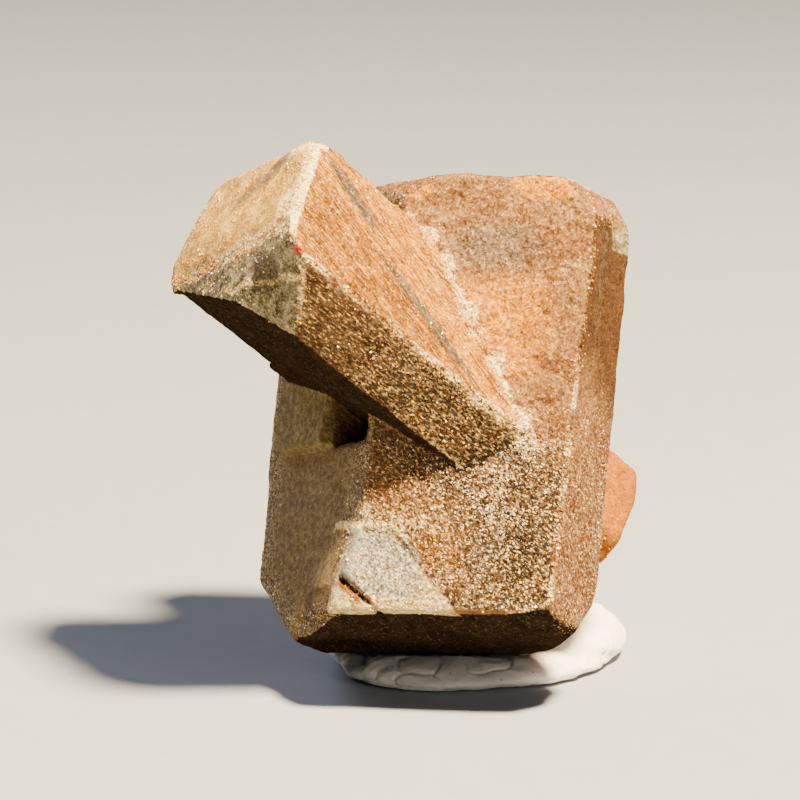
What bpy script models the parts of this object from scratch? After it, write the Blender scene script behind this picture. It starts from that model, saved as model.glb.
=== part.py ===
"""Staurolite penetration twin standing in a pad of mounting putty.

Two prismatic crystals cross at about 60 degrees: a thick upright one that leans back, and an
arm that runs through it from the upper left to a short stub at the lower right. They grew
together, so they are one solid. The putty pad is a solid of its own, with a flat underside.

Each crystal has its own frame: its long axis, "across" (level) and "up" (square to both).
A face is given by its azimuth about the long axis from "across", its dip towards the axis's
upper end, and its distance from the crystal's middle. Lengths here are millimetres.
"""
import math

import bmesh
import bpy
from mathutils import Matrix, Vector

MM = 0.001

# ---- driving dimensions: millimetres and degrees ----
UPRIGHT_RISE = 65.5
UPRIGHT_HEADING = 80.0
UPRIGHT_MIDDLE = (1.6, 0.5, 10.8)
UPRIGHT_FACES = {
    "front": (91.4, -0.4, 4.68),
    "left": (43.2, 2.3, 4.42),
    "right": (158.2, -3.0, 7.36),
    "back": (-86.6, 0.0, 4.33),
    "right_back": (-137.3, 0.3, 4.28),
    "left_back": (-21.8, -2.0, 6.88),
    "top": (-178.6, 89.9, 8.20),
    "bottom": (-177.7, -87.3, 10.05),
}
UPRIGHT_WORN_CORNERS = {
    "top_left": (60.0, 48.0, 8.55),
    "top_right": (158.0, 40.0, 10.25),
    "bottom_right": (150.0, -38.0, 11.30),
    "bottom_left": (20.0, -45.0, 10.84),
    "bottom_front": (92.0, -62.0, 10.30),
    "heel": (-90.0, -64.5, 9.86),
    "left_heel": (-10.0, -42.0, 10.25),
    "right_heel": (-165.0, -32.0, 9.75),
    "right_edge": (-165.0, -12.0, 7.95),
    "top_back": (-100.0, 55.0, 8.95),
}
ARM_RISE = 40.3
ARM_HEADING = -167.3
ARM_MIDDLE = (-2.4, -2.9, 14.4)
ARM_FACES = {
    "upper": (52.3, -1.4, 3.65),
    "front": (-9.6, -1.6, 3.85),
    "under": (-77.6, -0.2, 2.04),
    "back_upper": (112.5, -0.1, 5.15),
    "back": (169.6, -0.5, 7.15),
    "back_lower": (-125.5, -0.3, 5.25),
    "end": (-11.6, 87.7, 5.41),
    "inner_end": (150.0, -74.0, 9.00),
}
ARM_WORN_CORNERS = {
    "chip": (-38.1, 31.0, 4.34),
    "chip_shoulder": (-59.4, 71.7, 4.97),
    "end_rim": (118.0, 48.0, 7.28),
    "end_heel": (-150.0, 45.0, 8.00),
}
STUB_FACES = {
    "upper": (52.3, -1.4, 2.15),
    "front": (-9.6, -1.6, 2.60),
    "under": (-77.6, -0.2, 1.30),
    "back_upper": (112.5, -0.1, 3.25),
    "back": (169.6, -0.5, 4.20),
    "back_lower": (-125.5, -0.3, 3.20),
    "end": (15.0, -84.0, 14.10),
    "inner_end": (-63.5, 89.5, -6.00),
}
# Where the upright's lower left edge swells outwards, and the patch broken out of it
SWELL_FACES = {
    "front": UPRIGHT_FACES["front"],
    "left": (43.2, 9.0, 3.67),
    "left_trim": (14.0, 2.0, 4.35),
    "back": (-120.0, 0.0, -1.20),
    "top": (0.0, 84.0, -4.90),
    "bottom": (-177.7, -88.0, 9.45),
}
BROKEN_PATCH = {
    "top": (100.0, 82.0, -5.55),
    "right": (180.0, 41.8, -4.72),
    "floor": (-88.6, -7.8, -3.20),
    "front": (91.4, 0.0, 7.00),
    "left": (0.0, 0.0, 5.00),
    "bottom": (0.0, -90.0, 12.00),
}
# Blocks taken from or added to a crystal: middle (across, up, along), size, turn (degrees)
PATCH_CRACK = ((2.05, 4.60, -8.66), (1.75, 1.30, 0.28), (-6.0, -42.0, 0.0))
POCKET = ((2.60, 3.35, -1.20), (2.10, 2.20, 2.80), (0.0, 0.0, -47.0))
OLIVE_BLOCK = ((4.50, 0.95, -0.55), (3.80, 2.20, 4.20), (2.0, -2.0, -47.0))
CORNER_CHIP = ((-7.75, 3.25, 7.10), (1.60, 2.70, 2.60), (0.0, 8.0, 22.0))
EDGE_GROOVE = ((-7.02, 4.02, 5.20), (0.45, 0.70, 6.20), (0.0, 1.0, 22.0))
LOWER_BAND = ((-2.60, 5.00, -9.20), (6.40, 0.90, 0.70), (0.0, -2.0, 0.0))
BACK_STEP = ((-1.40, -4.95, 2.60), (5.20, 1.60, 6.40), (2.0, 3.0, 3.0))
BACK_LEDGE = ((3.90, -4.60, -5.60), (4.40, 1.70, 3.20), (-3.0, 5.0, 12.0))
TOP_STEP = ((2.60, 0.40, 8.55), (6.20, 5.00, 1.20), (3.0, 4.0, 18.0))
ARM_BACK_STEP = ((-5.60, 4.30, 2.60), (3.20, 2.40, 5.60), (0.0, 3.0, 24.0))
ARM_UNDER_STEP = ((-3.20, -3.95, 2.40), (4.00, 1.40, 4.80), (3.0, 0.0, -34.0))
# Round scoops broken out of a crystal: middle (across, up, along), radii, turn
CHIP_SCOOPS = (
    ((3.55, -0.55, 5.30), (2.10, 1.25, 1.45), (0.0, 20.0, 30.0)),
    ((3.75, -1.95, 4.05), (1.70, 0.95, 1.25), (0.0, 10.0, 25.0)),
)
UPRIGHT_SCOOPS = (
    ((-5.20, -0.50, 9.05), (1.70, 1.40, 1.05), (0.0, 0.0, 20.0)),
    ((-1.30, 2.20, -10.60), (1.90, 1.20, 1.05), (0.0, 0.0, 10.0)),
    ((2.90, 0.60, -10.70), (1.30, 1.60, 1.05), (0.0, 0.0, 40.0)),
    ((-3.90, -5.05, -1.20), (1.30, 0.80, 2.30), (0.0, 6.0, 0.0)),
)
BLANK = 60.0
CUT_TOLERANCE = 0.0001
VOXEL = 0.20
ROUNDING_STEPS = 6
ROUNDING_SHARE = 0.5
LUMP_SPACING = 2.6
LUMP_HEIGHT = 0.34
GRAIN_SPACING = 0.8
GRAIN_HEIGHT = 0.12
KEPT_SHARE = 0.062

PAD_LUMPS = (
    ((2.90, 1.40, 0.35), (5.90, 5.90, 1.00)),
    ((6.35, 1.90, 0.75), (2.95, 3.70, 1.20)),
    ((3.60, 4.20, 1.10), (4.30, 3.00, 1.90)),
    ((-0.20, 1.40, 0.40), (2.80, 3.00, 0.90)),
    ((1.80, -1.50, 0.30), (4.10, 3.20, 0.85)),
)
NO_TURN = (0.0, 0.0, 0.0)
FLOOR_BLOCK = ((0.0, 0.0, -5.0), (40.0, 40.0, 10.0), NO_TURN)
PAD_GAP = 0.45
PAD_LUMP_SPACING = 2.2
PAD_LUMP_HEIGHT = 0.30
PAD_VOXEL = 0.25
PAD_ROUNDING_STEPS = 4
PAD_KEPT_SHARE = 0.10

CRYSTAL_COLOR, CRYSTAL_ROUGHNESS = (0.30, 0.14, 0.06), 0.62
PUTTY_COLOR, PUTTY_ROUGHNESS = (0.80, 0.76, 0.70), 0.55
OBJECT_NAME = "staurolite_specimen"


def mm(values):
    """A point or size in metres from one in millimetres."""
    return Vector(values) * MM


def crystal_frame(rise, heading, middle):
    """Matrix whose columns are across, up and the long axis, placed at the crystal's middle."""
    rise, heading = math.radians(rise), math.radians(heading)
    along = Vector((math.cos(rise) * math.cos(heading), math.cos(rise) * math.sin(heading), math.sin(rise)))
    across = Vector((0, 0, 1)).cross(along).normalized()
    up = along.cross(across)
    turn = Matrix((across, up, along)).transposed().to_4x4()
    return Matrix.Translation(mm(middle)) @ turn


def collection(name, parent):
    made = bpy.data.collections.new(name)
    parent.children.link(made)
    return made


def add_object(name, bm, frame, group):
    """Put a bmesh in a new object, with its place in the mesh."""
    bmesh.ops.recalc_face_normals(bm, faces=bm.faces)
    mesh = bpy.data.meshes.new(name)
    bm.to_mesh(mesh)
    bm.free()
    mesh.transform(frame)
    obj = bpy.data.objects.new(name, mesh)
    group.objects.link(obj)
    return obj


def as_tool(obj):
    """Hide an object that only cuts or joins another."""
    obj.hide_render = True
    obj.display_type = "WIRE"
    return obj


def cut_crystal(name, frame, faces, group, grow=0.0):
    """A cube cut back to a crystal by one plane per face."""
    bm = bmesh.new()
    bmesh.ops.create_cube(bm, size=BLANK * MM)
    for azimuth, dip, distance in faces.values():
        azimuth, dip = math.radians(azimuth), math.radians(dip)
        level = math.cos(dip)
        normal = Vector((level * math.cos(azimuth), level * math.sin(azimuth), math.sin(dip)))
        everything = bm.verts[:] + bm.edges[:] + bm.faces[:]
        bmesh.ops.bisect_plane(
            bm, geom=everything, dist=CUT_TOLERANCE * MM, plane_co=normal * (distance + grow) * MM,
            plane_no=normal, clear_outer=True,
        )
        bmesh.ops.holes_fill(bm, edges=bm.edges)
    return add_object(name, bm, frame, group)


def placed(frame, middle, turn):
    """A crystal's frame moved to a feature's middle and turned in degrees about its axes."""
    x, y, z = (math.radians(angle) for angle in turn)
    turned = Matrix.Rotation(z, 4, "Z") @ Matrix.Rotation(y, 4, "Y") @ Matrix.Rotation(x, 4, "X")
    return frame @ Matrix.Translation(mm(middle)) @ turned


def block(name, frame, feature, group):
    middle, size, turn = feature
    bm = bmesh.new()
    bmesh.ops.create_cube(bm, size=1.0)
    bmesh.ops.scale(bm, vec=mm(size), verts=bm.verts)
    return add_object(name, bm, placed(frame, middle, turn), group)


def scoop(name, frame, feature, group):
    middle, radii, turn = feature
    bm = bmesh.new()
    bmesh.ops.create_icosphere(bm, subdivisions=3, radius=1.0)
    bmesh.ops.scale(bm, vec=mm(radii), verts=bm.verts)
    return add_object(name, bm, placed(frame, middle, turn), group)


def boolean(obj, tool, operation):
    modifier = obj.modifiers.new(f"{operation.lower()}_{tool.name}", "BOOLEAN")
    modifier.operation = operation
    modifier.solver = "EXACT"
    modifier.object = as_tool(tool)


def lumps(obj, name, spacing, height):
    """Low rolling lumps over the whole surface."""
    texture = bpy.data.textures.new(name, "CLOUDS")
    texture.noise_scale = spacing * MM
    texture.noise_depth = 1
    modifier = obj.modifiers.new(name, "DISPLACE")
    modifier.texture = texture
    modifier.texture_coords = "LOCAL"
    modifier.strength = height * MM
    modifier.mid_level = 0.5


def wear(obj, voxel, steps):
    """Round the edges a little by an even mesh that is then smoothed."""
    remesh = obj.modifiers.new("even_mesh", "REMESH")
    remesh.mode = "VOXEL"
    remesh.voxel_size = voxel * MM
    smooth = obj.modifiers.new("worn_edges", "SMOOTH")
    smooth.factor = ROUNDING_SHARE
    smooth.iterations = steps


def simplify(obj, share):
    decimate = obj.modifiers.new("fewer_faces", "DECIMATE")
    decimate.ratio = share


def material(name, color, roughness):
    made = bpy.data.materials.new(name)
    made.use_nodes = True
    shader = made.node_tree.nodes["Principled BSDF"]
    shader.inputs["Base Color"].default_value = (*color, 1.0)
    shader.inputs["Roughness"].default_value = roughness
    return made


def staurolite_twin(parts, tools):
    """The upright crystal, the arm through it and its stub, joined and broken as one piece."""
    upright = crystal_frame(UPRIGHT_RISE, UPRIGHT_HEADING, UPRIGHT_MIDDLE)
    arm = crystal_frame(ARM_RISE, ARM_HEADING, ARM_MIDDLE)
    twin = cut_crystal("staurolite_twin", upright, {**UPRIGHT_FACES, **UPRIGHT_WORN_CORNERS}, parts)
    boolean(twin, cut_crystal("lower_swell", upright, SWELL_FACES, tools), "UNION")
    boolean(twin, cut_crystal("broken_patch", upright, BROKEN_PATCH, tools), "DIFFERENCE")
    taken = {
        "pocket": (block, upright, POCKET), "corner_chip": (block, upright, CORNER_CHIP),
        "edge_groove": (block, upright, EDGE_GROOVE), "patch_crack": (block, upright, PATCH_CRACK),
        "lower_band": (block, upright, LOWER_BAND), "back_step": (block, upright, BACK_STEP),
        "back_ledge": (block, upright, BACK_LEDGE), "top_step": (block, upright, TOP_STEP),
    }
    for number, feature in enumerate(UPRIGHT_SCOOPS):
        taken[f"upright_scoop_{number}"] = (scoop, upright, feature)
    for name, (shape, frame, feature) in taken.items():
        boolean(twin, shape(name, frame, feature, tools), "DIFFERENCE")
    boolean(twin, block("olive_block", upright, OLIVE_BLOCK, tools), "UNION")
    crossing = cut_crystal("crossing_arm", arm, {**ARM_FACES, **ARM_WORN_CORNERS}, tools)
    boolean(crossing, block("arm_back_step", arm, ARM_BACK_STEP, tools), "DIFFERENCE")
    boolean(crossing, block("arm_under_step", arm, ARM_UNDER_STEP, tools), "DIFFERENCE")
    for number, feature in enumerate(CHIP_SCOOPS):
        boolean(crossing, scoop(f"chip_scoop_{number}", arm, feature, tools), "DIFFERENCE")
    boolean(twin, crossing, "UNION")
    boolean(twin, cut_crystal("arm_stub", arm, STUB_FACES, tools), "UNION")
    wear(twin, VOXEL, ROUNDING_STEPS)
    lumps(twin, "lumps", LUMP_SPACING, LUMP_HEIGHT)
    lumps(twin, "grains", GRAIN_SPACING, GRAIN_HEIGHT)
    simplify(twin, KEPT_SHARE)
    twin.data.materials.append(material("rusty_brown_staurolite", CRYSTAL_COLOR, CRYSTAL_ROUGHNESS))
    return twin


def mounting_putty(parts, tools):
    """A pressed pad of putty: flat lumps joined, hollowed for the crystal's heel, flat below."""
    upright = crystal_frame(UPRIGHT_RISE, UPRIGHT_HEADING, UPRIGHT_MIDDLE)
    level = Matrix.Identity(4)
    first, *others = PAD_LUMPS
    putty = scoop("mounting_putty", level, (*first, NO_TURN), parts)
    for number, lump in enumerate(others):
        boolean(putty, scoop(f"pad_lump_{number}", level, (*lump, NO_TURN), tools), "UNION")
    wear(putty, PAD_VOXEL, PAD_ROUNDING_STEPS)
    lumps(putty, "folds", PAD_LUMP_SPACING, PAD_LUMP_HEIGHT)
    simplify(putty, PAD_KEPT_SHARE)
    seat = cut_crystal("heel_seat", upright, {**UPRIGHT_FACES, **UPRIGHT_WORN_CORNERS}, tools, PAD_GAP)
    boolean(putty, seat, "DIFFERENCE")
    floor = block("floor_block", level, FLOOR_BLOCK, tools)
    boolean(putty, floor, "DIFFERENCE")
    putty.data.materials.append(material("white_putty", PUTTY_COLOR, PUTTY_ROUGHNESS))
    return putty


def stand_on_origin(parts, tools):
    """Carry every solid and cutter on one empty, so that the box's bottom centre is the origin."""
    graph = bpy.context.evaluated_depsgraph_get()
    corners = [Vector(corner) for obj in parts.objects for corner in obj.evaluated_get(graph).bound_box]
    low = Vector(min(corner[axis] for corner in corners) for axis in range(3))
    high = Vector(max(corner[axis] for corner in corners) for axis in range(3))
    stand = bpy.data.objects.new("stand", None)
    stand.location = (-(low.x + high.x) / 2, -(low.y + high.y) / 2, -low.z)
    bpy.context.scene.collection.objects.link(stand)
    for obj in [*parts.objects, *tools.objects]:
        obj.parent = stand


def main():
    for obj in list(bpy.data.objects):
        bpy.data.objects.remove(obj, do_unlink=True)
    scene = bpy.context.scene.collection
    parts = collection(OBJECT_NAME, scene)
    tools = collection("cutters", scene)
    staurolite_twin(parts, tools)
    mounting_putty(parts, tools)
    stand_on_origin(parts, tools)


main()
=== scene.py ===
import math
import time

import bpy
import numpy as np
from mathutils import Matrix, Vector


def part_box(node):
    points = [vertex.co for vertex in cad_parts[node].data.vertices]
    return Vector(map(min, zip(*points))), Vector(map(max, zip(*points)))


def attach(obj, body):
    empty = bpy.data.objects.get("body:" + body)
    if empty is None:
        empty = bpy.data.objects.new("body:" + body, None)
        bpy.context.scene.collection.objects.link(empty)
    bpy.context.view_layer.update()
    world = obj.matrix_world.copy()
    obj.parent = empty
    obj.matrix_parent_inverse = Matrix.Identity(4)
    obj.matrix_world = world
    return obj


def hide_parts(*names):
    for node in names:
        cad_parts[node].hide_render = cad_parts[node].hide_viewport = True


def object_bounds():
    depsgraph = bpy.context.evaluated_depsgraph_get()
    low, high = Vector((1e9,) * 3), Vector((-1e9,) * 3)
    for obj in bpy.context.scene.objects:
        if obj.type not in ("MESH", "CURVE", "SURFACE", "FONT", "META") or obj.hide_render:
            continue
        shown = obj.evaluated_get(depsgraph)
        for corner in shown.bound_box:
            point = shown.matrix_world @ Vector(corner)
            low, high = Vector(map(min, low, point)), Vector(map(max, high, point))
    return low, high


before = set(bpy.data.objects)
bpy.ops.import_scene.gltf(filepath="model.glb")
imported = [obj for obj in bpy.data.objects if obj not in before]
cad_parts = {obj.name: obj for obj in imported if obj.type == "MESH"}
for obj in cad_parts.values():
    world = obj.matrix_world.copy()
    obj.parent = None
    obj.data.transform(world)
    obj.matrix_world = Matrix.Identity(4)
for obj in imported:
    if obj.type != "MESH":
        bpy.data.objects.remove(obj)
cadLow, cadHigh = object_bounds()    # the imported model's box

started = time.time()
mm = 0.001
standShift = np.array((-0.195, -0.141, 0.0))    # millimetres, the same shift that the solids have


def stage(words):
    print(f"{time.time() - started:6.1f} s  {words}")


# Crystal frames and fields, in millimetres

def crystalFrame(rise, heading, middle):
    # columns: across (level), up, and the long axis
    rise, heading = math.radians(rise), math.radians(heading)
    level = math.cos(rise)
    along = np.array((level * math.cos(heading), level * math.sin(heading), math.sin(rise)))
    across = np.cross((0.0, 0.0, 1.0), along)
    across /= np.linalg.norm(across)
    return np.stack([across, np.cross(along, across), along], 1), np.array(middle) + standShift


def toLocal(crystal, points):
    turn, middle = crystal["frame"]
    return (points - middle) @ turn


def turnMatrix(angles):
    # turns about a crystal's own across, up and along axes, in that order
    x, y, z = np.radians(angles)
    turnX = np.array(((1, 0, 0), (0, math.cos(x), -math.sin(x)), (0, math.sin(x), math.cos(x))))
    turnY = np.array(((math.cos(y), 0, math.sin(y)), (0, 1, 0), (-math.sin(y), 0, math.cos(y))))
    turnZ = np.array(((math.cos(z), -math.sin(z), 0), (math.sin(z), math.cos(z), 0), (0, 0, 1)))
    return turnZ @ turnY @ turnX


def facePlanes(faces):
    # each face's normal, and its distance from the crystal's middle
    azimuth, dip = np.radians(np.array([face[:2] for face in faces.values()])).T
    level = np.cos(dip)
    normals = np.stack([level * np.cos(azimuth), level * np.sin(azimuth), np.sin(dip)], 1)
    return normals, np.array([face[2] for face in faces.values()])


def worldPlanes(crystal):
    turn, middle = crystal["frame"]
    normals, reach = facePlanes(crystal["faces"])
    normals = normals @ turn.T
    return normals, reach + normals @ middle


def faceDistances(faces, local):
    # how far each point lies outside each face, one row per face
    normals, reach = facePlanes(faces)
    return normals @ local.T - reach[:, None]


def smoothMax(a, b, radius):
    return np.maximum(a, b) + np.maximum(radius - np.abs(a - b), 0.0) ** 2 / (4.0 * radius)


def smoothMin(a, b, radius):
    return -smoothMax(-a, -b, radius)


def insideFaces(faces, local, radius):
    # negative inside: the largest of the face distances, with its edges rounded
    rows = faceDistances(faces, local)
    field = rows[0]
    for row in rows[1:]:
        field = smoothMax(field, row, radius)
    return field


def blockField(feature, local):
    middle, size, angles = feature
    away = np.abs((local - np.array(middle)) @ turnMatrix(angles)) - np.array(size) / 2
    return away.max(1)


def scoopField(feature, local):
    middle, radii, angles = feature
    scaled = (local - np.array(middle)) @ turnMatrix(angles) / np.array(radii)
    return (np.linalg.norm(scaled, axis=1) - 1.0) * min(radii)


# Noise on whole arrays

def latticeHash(cells, seed):
    # a number from 0 to 1 for each whole-number cell
    x, y, z = np.moveaxis(cells.astype(np.int64), -1, 0)
    mixed = x * 374761393 + y * 668265263 + z * 1274126177 + seed * 974711
    mixed = (mixed ^ (mixed >> 13)) * 1103515245
    mixed = (mixed ^ (mixed >> 16)) & 0xFFFFFF
    return mixed / float(0x1000000)


def rolling(points, size, seed):
    # smooth noise from -1 to 1: lattice values blended by an eased cube of weights
    scaled = points / size
    base = np.floor(scaled)
    part = scaled - base
    part = part * part * part * (part * (part * 6 - 15) + 10)
    total = np.zeros(len(points))
    for corner in np.ndindex(2, 2, 2):
        weight = np.prod(np.where(np.array(corner), part, 1 - part), axis=1)
        total += weight * latticeHash(base + np.array(corner), seed)
    return total * 2 - 1


def rough(points, size, octaves, seed):
    # layers of rolling noise, each half as wide and half as high
    total = np.zeros(len(points))
    for octave in range(octaves):
        total += rolling(points, size / 2 ** octave, seed + octave * 17) / 2 ** octave
    return total


def nearestCell(points, size, seed):
    # distance to the nearest of one random point per cell, and that cell's own number
    scaled = points / size
    base = np.floor(scaled)
    nearest = np.full(len(points), 9.0)
    owner = np.zeros(len(points))
    for step in np.ndindex(3, 3, 3):
        near = base + np.array(step) - 1
        middle = near + np.stack([latticeHash(near, seed + axis) for axis in range(3)], 1)
        gap = np.linalg.norm(middle - scaled, axis=1)
        owner = np.where(gap < nearest, latticeHash(near, seed + 7), owner)
        nearest = np.minimum(nearest, gap)
    return nearest, owner


def eased(values, low, high):
    part = np.clip((values - low) / (high - low), 0.0, 1.0)
    return part * part * (3 - 2 * part)


def nearTo(distance, outer, inner):
    # 1 within the inner distance of a line, 0 beyond the outer one
    return eased(-np.abs(distance), -outer, -inner)


def spot(across, along, middle, radii, softness=0.35):
    # 1 inside an oval on a face, 0 outside it
    away = np.hypot((across - middle[0]) / radii[0], (along - middle[1]) / radii[1])
    return eased(-away, -1 - softness, -1 + softness)


# The crystals: faces are azimuth, dip (degrees) and distance (mm)

upright = {
    "frame": crystalFrame(65.5, 80.0, (1.6, 0.5, 10.8)),
    "faces": {
        "front": (91.4, -0.4, 4.68), "left": (43.2, 2.3, 4.42), "right": (158.2, -3.0, 7.36),
        "back": (-86.6, 0.0, 4.33), "rightBack": (-137.3, 0.3, 4.28), "leftBack": (-21.8, -2.0, 6.88),
        "top": (-178.6, 89.9, 8.20), "bottom": (-177.7, -87.3, 10.05),
        "topLeft": (60.0, 48.0, 8.55), "topRight": (158.0, 40.0, 10.25),
        "bottomRight": (150.0, -38.0, 11.30), "bottomLeft": (20.0, -45.0, 10.84),
        "bottomFront": (92.0, -62.0, 10.30), "heel": (-90.0, -64.5, 9.86), "topBack": (-100.0, 55.0, 8.95),
        "leftHeel": (-10.0, -42.0, 10.25), "rightHeel": (-165.0, -32.0, 9.75),
        "rightEdge": (-165.0, -12.0, 7.95),
    },
    "sides": ("front", "left", "right", "back", "rightBack", "leftBack"),
    "low": -10.0, "high": 8.2, "capDepth": 3.4, "columns": 300, "capRings": 34, "sideRings": 130,
}
arm = {
    "frame": crystalFrame(40.3, -167.3, (-2.4, -2.9, 14.4)),
    "faces": {
        "upper": (52.3, -1.4, 3.65), "front": (-9.6, -1.6, 3.85), "under": (-77.6, -0.2, 2.04),
        "backUpper": (112.5, -0.1, 5.15), "back": (169.6, -0.5, 7.15), "backLower": (-125.5, -0.3, 5.25),
        "end": (-11.6, 87.7, 5.41), "innerEnd": (150.0, -74.0, 9.00),
        "chip": (-38.1, 31.0, 4.34), "chipShoulder": (-59.4, 71.7, 4.97),
        "endRim": (118.0, 48.0, 7.28), "endHeel": (-150.0, 45.0, 8.00),
    },
    "sides": ("upper", "front", "under", "backUpper", "back", "backLower"),
    "low": -8.5, "high": 5.3, "capDepth": 2.6, "columns": 260, "capRings": 34, "sideRings": 100,
}
stub = {    # the arm's far end, behind the upright
    "frame": arm["frame"],
    "faces": {
        "upper": (52.3, -1.4, 2.15), "front": (-9.6, -1.6, 2.60), "under": (-77.6, -0.2, 1.30),
        "backUpper": (112.5, -0.1, 3.25), "back": (169.6, -0.5, 4.20), "backLower": (-125.5, -0.3, 3.20),
        "end": (15.0, -84.0, 14.10), "innerEnd": (-63.5, 89.5, -6.00),
    },
    "sides": arm["sides"],
    "low": -14.0, "high": -6.0, "capDepth": 1.5, "columns": 150, "capRings": 16, "sideRings": 60,
}
swellFaces = {    # where the upright's lower left edge swells outwards
    "front": upright["faces"]["front"], "left": (43.2, 9.0, 3.67), "leftTrim": (14.0, 2.0, 4.35),
    "back": (-120.0, 0.0, -1.20), "top": (0.0, 84.0, -4.90), "bottom": (-177.7, -88.0, 9.45),
}
patchFaces = {    # the pale patch, broken out of the front
    "top": (100.0, 82.0, -5.55), "right": (180.0, 41.8, -4.72), "floor": (-88.6, -1.5, -4.42),
    "front": (91.4, 0.0, 7.00), "left": (0.0, 0.0, 5.00), "bottom": (0.0, -90.0, 12.00),
}
patchBorder = {name: face for name, face in patchFaces.items() if name != "floor"}
uprightBlocks = {    # middle, size (mm) and turns (degrees), taken out of the upright
    "pocket": ((2.60, 3.35, -1.20), (2.10, 2.20, 2.80), (0.0, 0.0, -47.0)),
    "patchCrack": ((2.10, 4.60, -8.60), (1.60, 1.10, 0.20), (-6.0, -38.0, 0.0)),
    "cornerChip": ((-7.75, 3.25, 7.10), (1.60, 2.70, 2.60), (0.0, 8.0, 22.0)),
    "edgeGroove": ((-7.02, 4.02, 5.20), (0.45, 0.70, 6.20), (0.0, 1.0, 22.0)),
    "backStep": ((-1.40, -4.95, 2.60), (5.20, 1.60, 6.40), (2.0, 3.0, 3.0)),
    "backLedge": ((3.90, -4.60, -5.60), (4.40, 1.70, 3.20), (-3.0, 5.0, 12.0)),
    "topStep": ((2.60, 0.40, 8.55), (6.20, 5.00, 1.20), (3.0, 4.0, 18.0)),
}
lowerBand = ((-2.60, 5.00, -9.20), (6.40, 0.90, 0.70), (0.0, -2.0, 0.0))    # painted, not cut
oliveBlock = ((4.50, 0.95, -0.55), (3.80, 2.20, 4.20), (2.0, -2.0, -47.0))    # added on the left
uprightScoops = (    # middle, radii (mm) and turns (degrees)
    ((-5.20, -0.50, 9.05), (1.70, 1.40, 1.05), (0.0, 0.0, 20.0)),
    ((-1.30, 2.20, -10.60), (1.90, 1.20, 1.05), (0.0, 0.0, 10.0)),
    ((2.90, 0.60, -10.70), (1.30, 1.60, 1.05), (0.0, 0.0, 40.0)),
    ((-3.90, -5.05, -1.20), (1.30, 0.80, 2.30), (0.0, 6.0, 0.0)),
)
armBlocks = {
    "backStep": ((-5.60, 4.30, 2.60), (3.20, 2.40, 5.60), (0.0, 3.0, 24.0)),
    "underStep": ((-3.20, -3.95, 2.40), (4.00, 1.40, 4.80), (3.0, 0.0, -34.0)),
}
chipScoops = (
    ((3.55, -0.55, 5.30), (2.10, 1.25, 1.45), (0.0, 20.0, 30.0)),
    ((3.75, -1.95, 4.05), (1.70, 0.95, 1.25), (0.0, 10.0, 25.0)),
)


def carved(field, local, blocks, scoops, blockEdge, scoopEdge):
    # takes blocks and scoops out of a field, and rounds the edges they leave
    for block in blocks.values():
        field = smoothMax(field, -blockField(block, local), blockEdge)
    for scoop in scoops:
        field = smoothMax(field, -scoopField(scoop, local), scoopEdge)
    return field


def uprightField(points, wear):
    local = toLocal(upright, points)
    field = insideFaces(upright["faces"], local, wear)
    field = smoothMin(field, insideFaces(swellFaces, local, wear), 0.10)
    field = smoothMax(field, -insideFaces(patchFaces, local, 0.10), 0.06)
    field = carved(field, local, uprightBlocks, uprightScoops, 0.06, 0.10)
    return smoothMin(field, blockField(oliveBlock, local) + 0.05, 0.12)


def armField(points, wear):
    local = toLocal(arm, points)
    return carved(insideFaces(arm["faces"], local, wear), local, armBlocks, chipScoops, 0.08, 0.08)


def stubField(points, wear):
    return insideFaces(stub["faces"], toLocal(stub, points), wear)


def sideReach(crystal, angles):
    # radius of the level cross-section at each angle
    sides = np.array([crystal["faces"][name] for name in crystal["sides"]])
    slant = np.cos(angles[:, None] - np.radians(sides[:, 0]))
    return np.where(slant > 0.05, sides[:, 2] / np.maximum(slant, 0.05), 99.0).min(1)


def crystalRays(crystal):
    # Rays leave the long axis level between the two ends and fan out over each end, in columns
    # spaced evenly along the outline of the cross-section. The last two rays are the poles.
    fine = np.linspace(0, 2 * math.pi, 7201)
    outline = np.stack([np.cos(fine), np.sin(fine)], 1) * sideReach(crystal, fine)[:, None]
    run = np.concatenate([[0.0], np.cumsum(np.linalg.norm(np.diff(outline, axis=0), axis=1))])
    columns, low, high = crystal["columns"], crystal["low"], crystal["high"]
    angles = np.interp(np.arange(columns) / columns * run[-1], run, fine)
    reach = sideReach(crystal, angles)
    rings = np.linspace(0.02, 1, crystal["capRings"], endpoint=False)
    heights = np.linspace(low, high, crystal["sideRings"])
    share = np.concatenate([rings, np.ones(len(heights)), rings[::-1]])
    target = np.concatenate([np.full(len(rings), low), heights, np.full(len(rings), high)])
    ends = low + crystal["capDepth"], high - crystal["capDepth"]
    start = np.clip(target, *ends)
    ray, origin = np.zeros((2, len(share), columns, 3))
    ray[..., 0] = share[:, None] * reach * np.cos(angles)
    ray[..., 1] = share[:, None] * reach * np.sin(angles)
    ray[..., 2] = (target - start)[:, None]
    origin[..., 2] = start[:, None]
    origin = np.concatenate([origin.reshape(-1, 3), [(0, 0, end) for end in ends]])
    ray = np.concatenate([ray.reshape(-1, 3), ((0, 0, -1.0), (0, 0, 1.0))])
    ray /= np.linalg.norm(ray, axis=1)[:, None]
    turn, middle = crystal["frame"]
    return origin @ turn.T + middle, ray @ turn.T, closedGrid(len(share), columns)


def closedGrid(rows, columns):
    # quads between neighbouring rings, and a fan of triangles round each pole, the last two points
    index = np.arange(rows * columns).reshape(rows, columns)
    around = np.roll(index, -1, 1)
    quads = np.stack([index[:-1], around[:-1], around[1:], index[1:]], -1).reshape(-1, 4)
    pole = np.full(columns, rows * columns)
    low, high = np.stack([around[0], index[0], pole], 1), np.stack([index[-1], around[-1], pole + 1], 1)
    return quads, np.concatenate([low, high])


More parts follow.
